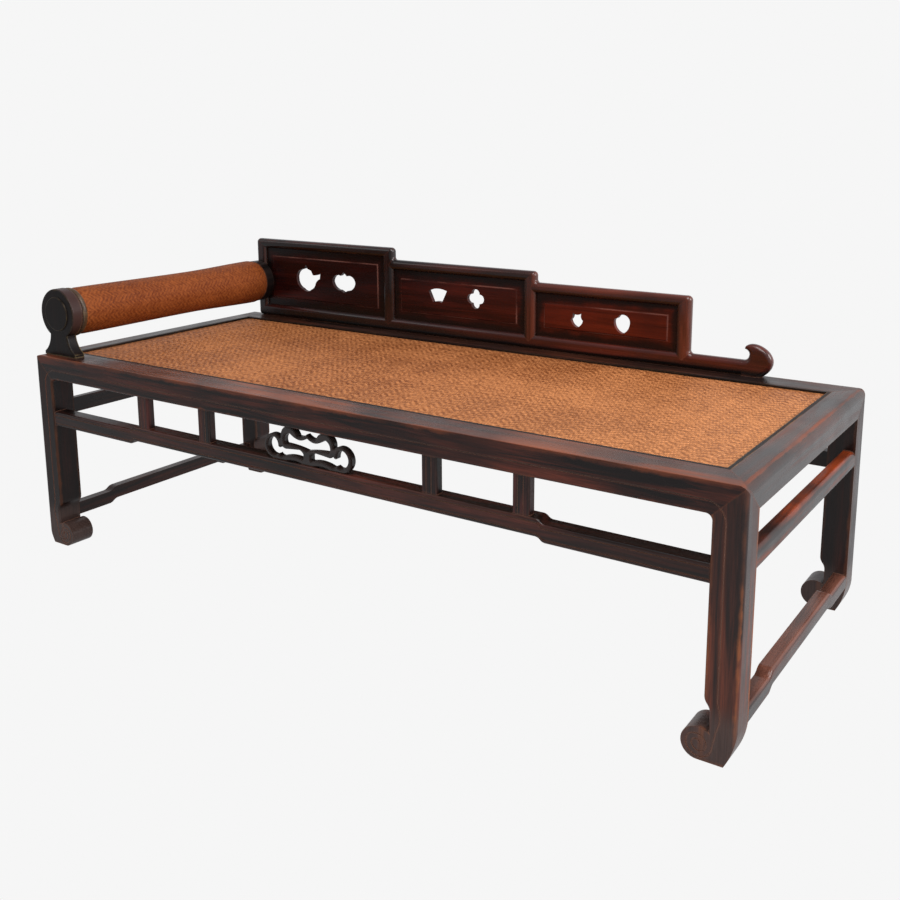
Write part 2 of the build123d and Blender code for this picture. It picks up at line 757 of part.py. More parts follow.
# Back railing. One stepped blank carries the rounded arrises, the coved inner corners and
# the grooves for the panels; mitred cuts then part it into its rails and stiles.
step_1_top = seat_height + step_1_height
step_2_top = seat_height + step_2_height
step_3_top = seat_height + step_3_height
steps = (
    (railing_left, stile_2_right, step_1_top),
    (stile_2_right, stile_3_right, step_2_top),
    (stile_3_right, stile_4_right, step_3_top),
)
openings = [
    (
        left + member_width if index == 0 else left,
        right - member_width,
        base_rail_top,
        top - top_member_height,
    )
    for index, (left, right, top) in enumerate(steps)
]
with BuildPart() as railing_blank:
    with BuildSketch(plane_at_y(railing_front)):
        with BuildLine():
            Polyline(
                (railing_left, seat_height),
                (railing_left, step_1_top),
                (stile_2_right, step_1_top),
                (stile_2_right, step_2_top),
                (stile_3_right, step_2_top),
                (stile_3_right, step_3_top),
                (stile_4_right, step_3_top),
                (stile_4_right, base_rail_top),
                (hook_start, base_rail_top),
                (hook_start, seat_height),
                close=True,
            )
        make_face()
        outer_corners = [
            (railing_left, seat_height),
            (railing_left, step_1_top),
            (stile_2_right, step_1_top),
            (stile_3_right, step_2_top),
            (stile_4_right, step_3_top),
        ]
        inner_corners = [
            (stile_2_right, step_2_top),
            (stile_3_right, step_3_top),
            (stile_4_right, base_rail_top),
        ]
        rounded = vertices().filter_by(
            lambda v: any(abs(v.X - x) < 0.1 and abs(v.Y - z) < 0.1 for x, z in outer_corners)
        )
        fillet(rounded, step_corner_radius)
        coved = vertices().filter_by(
            lambda v: any(abs(v.X - x) < 0.1 and abs(v.Y - z) < 0.1 for x, z in inner_corners)
        )
        fillet(coved, cove_radius)
        for left, right, bottom, top in openings:
            with Locations(((left + right) / 2, (bottom + top) / 2)):
                Rectangle(right - left, top - bottom, mode=Mode.SUBTRACT)
    extrude(amount=-railing_thickness)
    arrises = (
        edges()
        .filter_by(lambda edge: abs(edge.tangent_at(0.5).Y) < 0.5)
        .filter_by(lambda edge: seat_height + 0.5 < edge.center().Z)
        .filter_by(lambda edge: edge.center().X < hook_start - 0.5)
    )
    fillet(arrises, member_round)
    # grooves for the tongues of the panels
    panel_back = railing_front + panel_recess + panel_thickness
    tongue_front = railing_front + panel_recess + panel_field_rise
    for left, right, bottom, top in openings:
        with Locations(((left + right) / 2, (tongue_front + panel_back) / 2, (bottom + top) / 2)):
            Box(
                right - left + 2 * panel_tongue,
                panel_back - tongue_front + 2 * groove_clearance,
                top - bottom + 2 * panel_tongue,
                mode=Mode.SUBTRACT,
            )

# Cut lines of the joints: mitred corners, and pointed T-joints where a stile stands on
# the bottom rail or a lower top rail meets the side of a stile.
half_member = member_width / 2
half_top = top_member_height / 2


def corner_top(right, top):
    """The mitre at the top right of a step, from the outer corner to the inner one."""
    return [(right - member_width, top - top_member_height), (right, top)]


def stile_foot(right):
    """The point with which a stile stands in the bottom rail."""
    return [
        (right, base_rail_top),
        (right - half_member, base_rail_top - half_member),
        (right - member_width, base_rail_top),
    ]


def side_notch(right, top):
    """The point with which the next top rail enters the side of a stile."""
    return [(right, top), (right - half_top, top - half_top), (right, top - top_member_height)]


member_outlines = {
    "railing_stile_1": [
        (railing_left, seat_height),
        (railing_left + member_width, base_rail_top),
        (railing_left + member_width, step_1_top - top_member_height),
        (railing_left, step_1_top),
    ],
    "railing_top_1": [
        (railing_left, step_1_top),
        (railing_left + member_width, step_1_top - top_member_height),
        *corner_top(stile_2_right, step_1_top),
    ],
    "railing_stile_2": [
        *corner_top(stile_2_right, step_1_top),
        *side_notch(stile_2_right, step_2_top),
        *stile_foot(stile_2_right),
    ],
    "railing_top_2": [
        (stile_2_right, step_2_top + cove_radius + 1),
        *side_notch(stile_2_right, step_2_top),
        *corner_top(stile_3_right, step_2_top),
        (stile_3_right, step_2_top + cove_radius + 1),
    ],
    "railing_stile_3": [
        *corner_top(stile_3_right, step_2_top),
        *side_notch(stile_3_right, step_3_top),
        *stile_foot(stile_3_right),
    ],
    "railing_top_3": [
        (stile_3_right, step_3_top + cove_radius + 1),
        *side_notch(stile_3_right, step_3_top),
        *corner_top(stile_4_right, step_3_top),
        (stile_4_right, step_3_top + cove_radius + 1),
    ],
    "railing_stile_4": [*corner_top(stile_4_right, step_3_top), *stile_foot(stile_4_right)],
}
base_rail_blank = railing_blank.part
for name, outline in member_outlines.items():
    with BuildPart() as cutter:
        with BuildSketch(plane_at_y(railing_front - 1)):
            with BuildLine():
                Polyline(*outline, close=True)
            make_face()
        extrude(amount=-(railing_thickness + 2))
    with BuildPart() as railing_member:
        add(railing_blank.part)
        add(cutter.part, mode=Mode.INTERSECT)
        if name == "railing_stile_1":
            with BuildSketch(plane_at_y(railing_front)):
                with Locations((bolster_x, seat_height + bolster_axis_height)):
                    Circle(core_peg_radius + joint_clearance)
            extrude(amount=-core_peg_length, mode=Mode.SUBTRACT)
            with Locations(railing_dowels[0]):
                Cylinder(dowel_hole_radius, dowel_length, mode=Mode.SUBTRACT)
    save(railing_member.part, name)
    base_rail_blank = base_rail_blank - cutter.part

# Bottom rail. It ends at the foot in a hook: a horn of rounded sections set round a hollow,
# as tall as the rail at its root, fullest at its back and thin at its tip.
hollow = (hook_start, base_rail_top + hook_hollow_radius)
hook_middle = railing_front + railing_thickness / 2
hook_rounding = member_round / railing_thickness
hook_sections = (
    (-90, base_rail_height + member_round, railing_thickness),
    (-50, 0.69 * hook_length, railing_thickness),
    (-10, 0.74 * hook_length, railing_thickness),
    (42, 0.34 * hook_height, 0.9 * railing_thickness),
    (74, 0.1 * hook_height, 0.6 * railing_thickness),
)
with BuildPart() as hook:
    for turn, reach, thickness in hook_sections:
        out = (cos(radians(turn)), sin(radians(turn)))
        middle = hook_hollow_radius + reach / 2
        section = Plane(
            origin=(hollow[0] + out[0] * middle, hook_middle, hollow[1] + out[1] * middle),
            x_dir=(out[0], 0, out[1]),
            z_dir=(-out[1], 0, out[0]),
        )
        with BuildSketch(section):
            RectangleRounded(reach, thickness, hook_rounding * min(reach, thickness))
    loft()
    split(bisect_by=Plane.XY.offset(seat_height), keep=Keep.TOP)

with BuildPart() as railing_base:
    add(base_rail_blank)
    add(hook.part)
    with Locations(*railing_dowels):
        Cylinder(dowel_hole_radius, dowel_length, mode=Mode.SUBTRACT)
save(railing_base.part, "railing_base")

# Panels: tongued into the frame, a raised field, fruit and vessel shapes pierced through
with BuildSketch() as teapot:
    with BuildLine():
        Polyline((-5, 31), (-5, 36), (0, 41), (5, 36), (5, 31), (20, 26), (27, 13))
        ThreePointArc((27, 13), (42, 14), (57, 20))
        Line((57, 20), (54, 3))
        ThreePointArc((54, 3), (44, -3), (37, -12))
        ThreePointArc((37, -12), (31, -24), (20, -31))
        ThreePointArc((20, -31), (2, -38), (-16, -31))
        ThreePointArc((-16, -31), (-32, -20), (-38, -2))
        ThreePointArc((-38, -2), (-34, 16), (-22, 26))
        Line((-22, 26), (-5, 31))
    make_face()
with BuildSketch() as pumpkin:
    with BuildLine():
        Polyline((-12, 20), (0, 31), (12, 20))
        ThreePointArc((12, 20), (34, 18), (44, 1))
        ThreePointArc((44, 1), (33, -17), (14, -23))
        Polyline((14, -23), (0, -30), (-14, -23))
        ThreePointArc((-14, -23), (-33, -17), (-44, 1))
        ThreePointArc((-44, 1), (-34, 18), (-12, 20))
    make_face()
with BuildSketch() as fan:
    with BuildLine():
        ThreePointArc((-31, 11), (1, 19), (31, 14))
        Line((31, 14), (14, -20))
        ThreePointArc((14, -20), (-1, -17), (-16, -20))
        Line((-16, -20), (-31, 11))
    make_face()
with BuildSketch() as quatrefoil:
    with PolarLocations(14, 4):
        Circle(13)
    Circle(14)
with BuildSketch() as pomegranate:
    with BuildLine():
        ThreePointArc((-13, 17), (0, 12), (13, 17))
        ThreePointArc((13, 17), (11, 9), (17, -2))
        ThreePointArc((17, -2), (11, -14), (0, -21))
        ThreePointArc((0, -21), (-12, -14), (-18, -2))
        ThreePointArc((-18, -2), (-12, 9), (-13, 17))
    make_face()
with BuildSketch() as peach:
    with BuildLine():
        ThreePointArc((-9, 20), (16, 17), (20, 0))
        ThreePointArc((20, 0), (14, -15), (0, -25))
        ThreePointArc((0, -25), (-17, -14), (-23, 2))
        ThreePointArc((-23, 2), (-20, 11), (-13, 14))
        Line((-13, 14), (-9, 20))
    make_face()
panel_cutouts = (
    ("railing_panel_1", ((teapot, -0.152, 0.011), (pumpkin, 0.17, 0.006))),
    ("railing_panel_2", ((fan, -0.148, 0.064), (quatrefoil, 0.144, 0.068))),
    ("railing_panel_3", ((pomegranate, -0.192, -0.02), (peach, 0.133, -0.013))),
)
tongue = panel_tongue - groove_clearance
for (name, cutouts), (left, right, bottom, top) in zip(panel_cutouts, openings):
    with BuildPart() as panel:
        panel_middle = ((left + right) / 2, (bottom + top) / 2)
        with BuildSketch(plane_at_y(tongue_front)):
            with Locations(panel_middle):
                Rectangle(right - left + 2 * tongue, top - bottom + 2 * tongue)
        extrude(amount=-(panel_thickness - panel_field_rise))
        with BuildSketch(plane_at_y(tongue_front)):
            with Locations(panel_middle):
                Rectangle(right - left - 2 * panel_border, top - bottom - 2 * panel_border)
        extrude(amount=panel_field_rise)
        field_edges = edges().filter_by_position(
            Axis.Y, tongue_front - panel_field_rise - 0.1, tongue_front - panel_field_rise + 0.1
        )
        chamfer(field_edges, 0.8 * panel_field_rise)
        for shape, along, up in cutouts:
            place = (panel_middle[0] + along * (right - left), panel_middle[1] + up * (top - bottom))
            with BuildSketch(plane_at_y(tongue_front - panel_field_rise)):
                with Locations(place):
                    add(shape.sketch)
            extrude(amount=-panel_thickness, mode=Mode.SUBTRACT)
    save(panel.part, name)

# Bolster: a lute-shaped board stands on the front rail and carries a dowel core that is
# pegged into the first stile; turned drums, a collar and the rattan roll are slid on it.
board_front = -half_depth + end_board_front
board_back = board_front + end_board_thickness
axis_height = seat_height + bolster_axis_height
with BuildPart() as bolster_end_board:
    with BuildSketch(plane_at_y(board_front)):
        with Locations((bolster_x, axis_height)):
            Circle(end_board_radius)
        with BuildLine():
            for side in (-1, 1):
                Line(
                    (bolster_x + side * base_half_width, seat_height),
                    (bolster_x + side * base_half_width, seat_height + base_lip),
                )
                ThreePointArc(
                    (bolster_x + side * base_half_width, seat_height + base_lip),
                    (bolster_x + side * (neck_half_width + 9), seat_height + base_lip + 19),
                    (bolster_x + side * neck_half_width, seat_height + neck_height + 6),
                )
            Line(
                (bolster_x - neck_half_width, seat_height + neck_height + 6),
                (bolster_x + neck_half_width, seat_height + neck_height + 6),
            )
            Line((bolster_x - base_half_width, seat_height), (bolster_x + base_half_width, seat_height))
        make_face()
    extrude(amount=-end_board_thickness)
    board_arrises = (
        edges()
        .filter_by_position(Axis.Y, board_front - 0.1, board_front + 0.1)
        .filter_by(lambda edge: edge.center().Z > seat_height + 1)
    )
    fillet(board_arrises, board_bead)
    # raised medallion
    with BuildSketch(plane_at_y(board_front)):
        with Locations((bolster_x, axis_height)):
            Circle(medallion_radius)
    extrude(amount=medallion_rise)
    fillet(edges().group_by(Axis.Y)[0], 0.8 * medallion_rise)
    # bore for the core, blind
    with BuildSketch(plane_at_y(board_back)):
        with Locations((bolster_x, axis_height)):
            Circle(core_radius + core_clearance)
    extrude(amount=end_board_thickness / 2, mode=Mode.SUBTRACT)
    with Locations(*board_dowels):
        Cylinder(dowel_hole_radius, dowel_length, mode=Mode.SUBTRACT)
save(bolster_end_board.part, "bolster_end_board")


def turned(profile, name):
    """A piece turned about the bolster's axis, from a half profile of (y, radius) points."""
    with BuildPart() as piece:
        with BuildSketch(Plane(origin=(bolster_x, 0, axis_height), x_dir=(0, 1, 0), z_dir=(1, 0, 0))):
            with BuildLine():
                Polyline(*profile, close=True)
            make_face()
        revolve(axis=Axis((bolster_x, 0, axis_height), (0, 1, 0)))
    save(piece.part, name)


bore = core_radius + core_clearance
drum_end = board_back + front_drum_length
collar_end = drum_end + collar_length
roll_end = railing_front - rear_drum_length
turned(
    [
        (board_back - end_board_thickness / 2 + 1, 0),
        (board_back - end_board_thickness / 2 + 1, core_radius),
        (railing_front, core_radius),
        (railing_front, core_peg_radius),
        (railing_front + core_peg_length - 1, core_peg_radius),
        (railing_front + core_peg_length - 1, 0),
    ],
    "bolster_core",
)
turned(
    [
        (board_back, bore),
        (board_back, drum_radius - 2),
        (board_back + 2, drum_radius),
        (drum_end - 2, drum_radius),
        (drum_end, drum_radius - 2),
        (drum_end, bore),
    ],
    "bolster_front_drum",
)
with BuildPart() as bolster_collar:
    with BuildSketch(Plane(origin=(bolster_x, 0, axis_height), x_dir=(0, 1, 0), z_dir=(1, 0, 0))):
        with BuildLine():
            Line((drum_end, bore), (drum_end, collar_radius - 4))
            ThreePointArc(
                (drum_end, collar_radius - 4),
                (drum_end + collar_length / 2, collar_radius),
                (collar_end, collar_radius - 4),
            )
            Line((collar_end, collar_radius - 4), (collar_end, bore))
            Line((collar_end, bore), (drum_end, bore))
        make_face()
    revolve(axis=Axis((bolster_x, 0, axis_height), (0, 1, 0)))
save(bolster_collar.part, "bolster_collar")
with BuildPart() as bolster_roll:
    with BuildSketch(Plane(origin=(bolster_x, 0, axis_height), x_dir=(0, 1, 0), z_dir=(1, 0, 0))):
        with BuildLine():
            Line((collar_end, bore), (collar_end, roll_front_radius - 6))
            ThreePointArc(
                (collar_end, roll_front_radius - 6),
                (collar_end + 2, roll_front_radius - 2),
                (collar_end + 6, roll_front_radius),
            )
            ThreePointArc(
                (collar_end + 6, roll_front_radius),
                ((collar_end + roll_end) / 2, roll_middle_radius),
                (roll_end - 5, roll_back_radius),
            )
            Line((roll_end - 5, roll_back_radius), (roll_end, roll_back_radius - 4))
            Line((roll_end, roll_back_radius - 4), (roll_end, bore))
            Line((roll_end, bore), (collar_end, bore))
        make_face()
    revolve(axis=Axis((bolster_x, 0, axis_height), (0, 1, 0)))
save(bolster_roll.part, "bolster_roll")
turned(
    [
        (roll_end, bore),
        (roll_end, drum_radius),
        (railing_front - 2, drum_radius),
        (railing_front, drum_radius - 2),
        (railing_front, bore),
    ],
    "bolster_rear_drum",
)
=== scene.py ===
from math import cos, pi, radians, sin

import bmesh
import bpy
from mathutils import Matrix, Vector


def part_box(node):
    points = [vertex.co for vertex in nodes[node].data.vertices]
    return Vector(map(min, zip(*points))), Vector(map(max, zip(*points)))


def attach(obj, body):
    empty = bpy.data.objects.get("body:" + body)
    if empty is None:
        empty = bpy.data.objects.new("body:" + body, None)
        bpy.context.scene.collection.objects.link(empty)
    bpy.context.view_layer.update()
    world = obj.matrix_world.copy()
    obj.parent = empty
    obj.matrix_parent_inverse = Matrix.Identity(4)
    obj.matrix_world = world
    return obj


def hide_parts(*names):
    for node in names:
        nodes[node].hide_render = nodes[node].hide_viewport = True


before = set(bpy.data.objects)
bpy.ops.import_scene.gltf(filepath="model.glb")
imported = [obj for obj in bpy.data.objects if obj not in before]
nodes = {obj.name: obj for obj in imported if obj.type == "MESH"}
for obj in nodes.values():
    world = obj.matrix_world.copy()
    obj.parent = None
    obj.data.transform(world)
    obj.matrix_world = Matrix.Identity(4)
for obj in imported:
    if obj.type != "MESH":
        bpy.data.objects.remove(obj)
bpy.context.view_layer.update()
bpy.ops.object.select_all(action="DESELECT")

# Camera: standing at the foot end of the bed's front, a little above the seat, looking
# along the front towards the head.
eye = Vector((1.4599, -2.0067, 1.0818))
yaw, pitch, roll = radians(33.965), radians(11.321), radians(-0.242)
ahead = Vector((-sin(yaw) * cos(pitch), cos(yaw) * cos(pitch), -sin(pitch)))
level = Vector((cos(yaw), sin(yaw), 0))
upright = level.cross(ahead)
right = cos(roll) * level + sin(roll) * upright
top = cos(roll) * upright - sin(roll) * level
camera = bpy.data.objects.new("camera", bpy.data.cameras.new("camera"))
bpy.context.scene.collection.objects.link(camera)
camera.matrix_world = Matrix.Translation(eye) @ Matrix((right, top, -ahead)).transposed().to_4x4()
camera.data.sensor_width = 36
camera.data.lens = 42.276
camera.data.shift_x = -0.0064
camera.data.shift_y = -0.1228
camera.data.clip_end = 60
bpy.context.scene.camera = camera

# Studio: a bowl of pale paper, floor and wall in one sweep with no corner to be seen, dim
# behind the camera and bright past the back and the foot end. One large softbox hangs
# overhead, one stands beyond the foot end, and a weaker fill stands before the head end.
bpy.context.scene.view_settings.view_transform = "Standard"
bpy.context.scene.view_settings.look = "None"


def put(tree, kind, inputs=None, **settings):
    """Adds a node, links the inputs that are sockets and sets the others."""
    made = tree.nodes.new("ShaderNode" + kind)
    for name, value in settings.items():
        setattr(made, name, value)
    for name, value in (inputs or {}).items():
        if isinstance(value, bpy.types.NodeSocket):
            tree.links.new(value, made.inputs[name])
        else:
            made.inputs[name].default_value = value
    return made


def calc(tree, operation, *values, clamp=False):
    return put(tree, "Math", dict(enumerate(values)), operation=operation, use_clamp=clamp).outputs[0]


def plus(tree, first, second, clamp=False):
    return calc(tree, "ADD", first, second, clamp=clamp)


def ramp(tree, value, low, high, to_low=0.0, to_high=1.0, smooth=False):
    return put(
        tree,
        "MapRange",
        {"Value": value, "From Min": low, "From Max": high, "To Min": to_low, "To Max": to_high},
        interpolation_type="SMOOTHSTEP" if smooth else "LINEAR",
    ).outputs["Result"]


def blend(tree, share, first, second):
    made = put(tree, "Mix", data_type="RGBA")
    for name, value in (("Factor", share), ("A", first), ("B", second)):
        socket = next(s for s in made.inputs if s.name == name and s.enabled)
        if isinstance(value, bpy.types.NodeSocket):
            tree.links.new(value, socket)
        else:
            socket.default_value = value
    return next(s for s in made.outputs if s.enabled)


def noise(tree, place, scale, detail, **others):
    inputs = {"Vector": place, "Scale": scale, "Detail": detail, **others}
    return put(tree, "TexNoise", inputs).outputs["Fac"]


def axes(tree, place):
    return put(tree, "SeparateXYZ", {0: place}).outputs


def new_material(name):
    material = bpy.data.materials.new(name)
    material.use_nodes = True
    material.node_tree.nodes.clear()
    return material, material.node_tree


bowl_radius = 9
wall_height = 9
sweep_radius = 4
floor_level = -0.0006
bpy.ops.mesh.primitive_circle_add(
    vertices=96, radius=bowl_radius, fill_type="NGON", location=(0, 0, floor_level)
)
bowl = bpy.context.object
bowl.name = "studio_bowl"
bpy.ops.object.mode_set(mode="EDIT")
bpy.ops.mesh.select_all(action="SELECT")
bpy.ops.mesh.region_to_loop()
bpy.ops.mesh.extrude_region_move(TRANSFORM_OT_translate={"value": (0, 0, wall_height)})
bpy.ops.object.mode_set(mode="OBJECT")
sweep = bowl.modifiers.new("sweep", "BEVEL")
sweep.width = sweep_radius
sweep.segments = 16
sweep.limit_method = "ANGLE"
sweep.angle_limit = radians(60)
bpy.context.view_layer.objects.active = bowl
bpy.ops.object.modifier_apply(modifier="sweep")
bpy.ops.object.shade_smooth()

paper, tree = new_material("studio paper")
coords = put(tree, "TexCoord").outputs["Object"]
tint = blend(tree, noise(tree, coords, 90.0, 2.0), (0.190, 0.190, 0.190, 1), (0.198, 0.198, 0.198, 1))
sides = axes(tree, coords)
past_back = ramp(tree, sides[1], -7.0, 5.0, 0.20, 0.60)
past_foot = ramp(tree, sides[0], 1.0, 7.0, 0.0, 0.55)
glow = blend(tree, plus(tree, past_back, past_foot), (0, 0, 0, 1), (0.92, 0.92, 0.94, 1))
plain = put(
    tree,
    "BsdfPrincipled",
    {
        "Base Color": tint,
        "Roughness": 0.95,
        "Specular IOR Level": 0.0,
        "Emission Color": glow,
        "Emission Strength": 1.0,
    },
)
lit = put(tree, "Emission", {"Color": (0.9216, 0.9216, 0.9216, 1), "Strength": 1.0})
seen = put(tree, "LightPath").outputs["Is Camera Ray"]
evened = put(tree, "MixShader", {0: seen, 1: plain.outputs["BSDF"], 2: lit.outputs["Emission"]})
tree.links.new(evened.outputs["Shader"], put(tree, "OutputMaterial").inputs["Surface"])
bowl.data.materials.append(paper)

world = bpy.data.worlds.new("studio air")
world.use_nodes = True
world.node_tree.nodes["Background"].inputs["Color"].default_value = (0.90, 0.93, 1.0, 1)
world.node_tree.nodes["Background"].inputs["Strength"].default_value = 0.5
bpy.context.scene.world = world

target = Vector((0, 0, 0.4))
for name, place, size, power in [
    ("overhead", (1.1, -0.9, 2.9), 1.8, 62),
    ("foot_end", (3.8, 0.9, 2.3), 2.0, 96),
    ("fill", (-3.0, -2.4, 2.6), 1.6, 10),
]:
    light = bpy.data.objects.new(name, bpy.data.lights.new(name, "AREA"))
    bpy.context.scene.collection.objects.link(light)
    light.location = place
    light.rotation_euler = (target - Vector(place)).to_track_quat("-Z", "Y").to_euler()
    light.data.size = size
    light.data.energy = power
    light.visible_camera = False

# Seat frame: two long rails and two end rails of dense dark wood under thin lacquer, mitred
# together, nearly black, rubbed back to red brown on the arrises and along the top, with a
# line scribed along the front.


def times(tree, first, second):
    return calc(tree, "MULTIPLY", first, second)


def minus(tree, first, second):
    return calc(tree, "SUBTRACT", first, second)


def vector_calc(tree, operation, *values):
    return put(tree, "VectorMath", dict(enumerate(values)), operation=operation).outputs[0]


def new_group(name, takes, gives):
    group = bpy.data.node_groups.new(name, "ShaderNodeTree")
    for label, kind, value in takes:
        made = group.interface.new_socket(label, in_out="INPUT", socket_type="NodeSocket" + kind)
        if value is not None:
            made.default_value = value
    for label, kind in gives:
        group.interface.new_socket(label, in_out="OUTPUT", socket_type="NodeSocket" + kind)
    return group, group.nodes.new("NodeGroupInput").outputs, group.nodes.new("NodeGroupOutput").inputs


def use(tree, group, **inputs):
    return put(tree, "Group", inputs, node_tree=group).outputs


def finish_shader(tree, **inputs):
    """The material's one Principled shader, given its inputs by their names with _ for a space."""
    named = {name.replace("_", " "): value for name, value in inputs.items()}
    shader = put(tree, "BsdfPrincipled", named)
    tree.links.new(shader.outputs["BSDF"], put(tree, "OutputMaterial").inputs["Surface"])


def build_grain():
    """Wood grain along X: broad streaks, fine pores and the height that both give the surface."""
    group, took, give = new_group(
        "wood grain",
        [("Vector", "Vector", None)],
        [("Streak", "Float"), ("Fine", "Float"), ("Height", "Float")],
    )
    streaks_per_metre = (2.4, 42, 42)
    pores_per_metre = (16, 420, 420)
    broad = vector_calc(group, "MULTIPLY", took["Vector"], streaks_per_metre)
    broad = noise(group, broad, 1.0, 5.0, Roughness=0.62, Distortion=0.5)
    streak = ramp(group, broad, 0.42, 0.70)
    pores = vector_calc(group, "MULTIPLY", took["Vector"], pores_per_metre)
    fine = ramp(group, noise(group, pores, 1.0, 3.0), 0.32, 0.62)
    height = plus(group, times(group, streak, 0.45), times(group, fine, 0.55))
    for name, value in (("Streak", streak), ("Fine", fine), ("Height", height)):
        group.links.new(value, give[name])
    return group


def build_arris_wear():
    """Wear along the twelve edges of a box, ragged, and stronger in some places than others."""
    group, took, give = new_group(
        "arris wear",
        [
            ("Vector", "Vector", None),
            ("Low", "Vector", None),
            ("High", "Vector", None),
            ("Width", "Float", 0.008),
        ],
        [("Wear", "Float")],
    )
    from_low = vector_calc(group, "SUBTRACT", took["Vector"], took["Low"])
    from_high = vector_calc(group, "SUBTRACT", took["High"], took["Vector"])
    nearest = vector_calc(group, "ABSOLUTE", vector_calc(group, "MINIMUM", from_low, from_high))
    apart = axes(group, nearest)
    least = calc(group, "MINIMUM", apart[0], apart[1])
    most = calc(group, "MAXIMUM", apart[0], apart[1])
    second = calc(group, "MAXIMUM", least, calc(group, "MINIMUM", most, apart[2]))
    ragged = minus(group, noise(group, took["Vector"], 38.0, 4.0), 0.5)
    ragged = times(group, ragged, times(group, took["Width"], 1.5))
    near = calc(group, "DIVIDE", plus(group, second, ragged), took["Width"])
    near = ramp(group, near, 0.25, 1.0, 1.0, 0.0, smooth=True)
    patches = ramp(group, noise(group, took["Vector"], 7.0, 2.0), 0.36, 0.6, 0.15, 1.0)
    group.links.new(times(group, near, patches), give["Wear"])
    return group


def build_recess_mask():
    """A mask of where the surface is closed in, from all of it at Full to none of it at Clear."""
    group, took, give = new_group(
        "recess mask",
        [("Reach", "Float", 0.02), ("Full", "Float", 0.35), ("Clear", "Float", 0.85)],
        [("Closed In", "Float")],
    )
    closed = put(group, "AmbientOcclusion", {"Distance": took["Reach"]}, samples=8).outputs["AO"]
    group.links.new(ramp(group, closed, took["Full"], took["Clear"], 1.0, 0.0), give["Closed In"])
    return group


def build_round_wear_and_highlight():
    """Wear and a painted highlight wherever the wood behind the surface is thin, so also along curved
    edges.
    """
    group, took, give = new_group(
        "round wear and highlight",
        [("Vector", "Vector", None), ("Reach", "Float", 0.004)],
        [("Wear", "Float")],
    )
    sharp = put(group, "AmbientOcclusion", {"Distance": took["Reach"]}, samples=8, inside=True)
    ragged = minus(group, noise(group, took["Vector"], 60.0, 4.0), 0.5)
    sharp = plus(group, sharp.outputs["AO"], times(group, ragged, 0.5))
    group.links.new(ramp(group, sharp, 0.62, 0.9, 1.0, 0.0, smooth=True), give["Wear"])
    return group


grain_group = build_grain()
wear_group = build_arris_wear()
recess_group = build_recess_mask()
round_wear_and_highlight_group = build_round_wear_and_highlight()
BLACK = (0.0045, 0.0035, 0.0032, 1)
SCUFF = (0.085, 0.052, 0.044, 1)
turns = {"X": (0, 0, 0), "Y": (0, 0, pi / 2), "Z": (0, pi / 2, 0)}
cut_apart = 0.37
groove_reach = 0.0028
grain_relief = 0.0008
faded_lit_from, faded_lit_to = -0.25, 0.35
scuffed_to, clean_from = 0.07, 0.12
shade_wander = 0.003


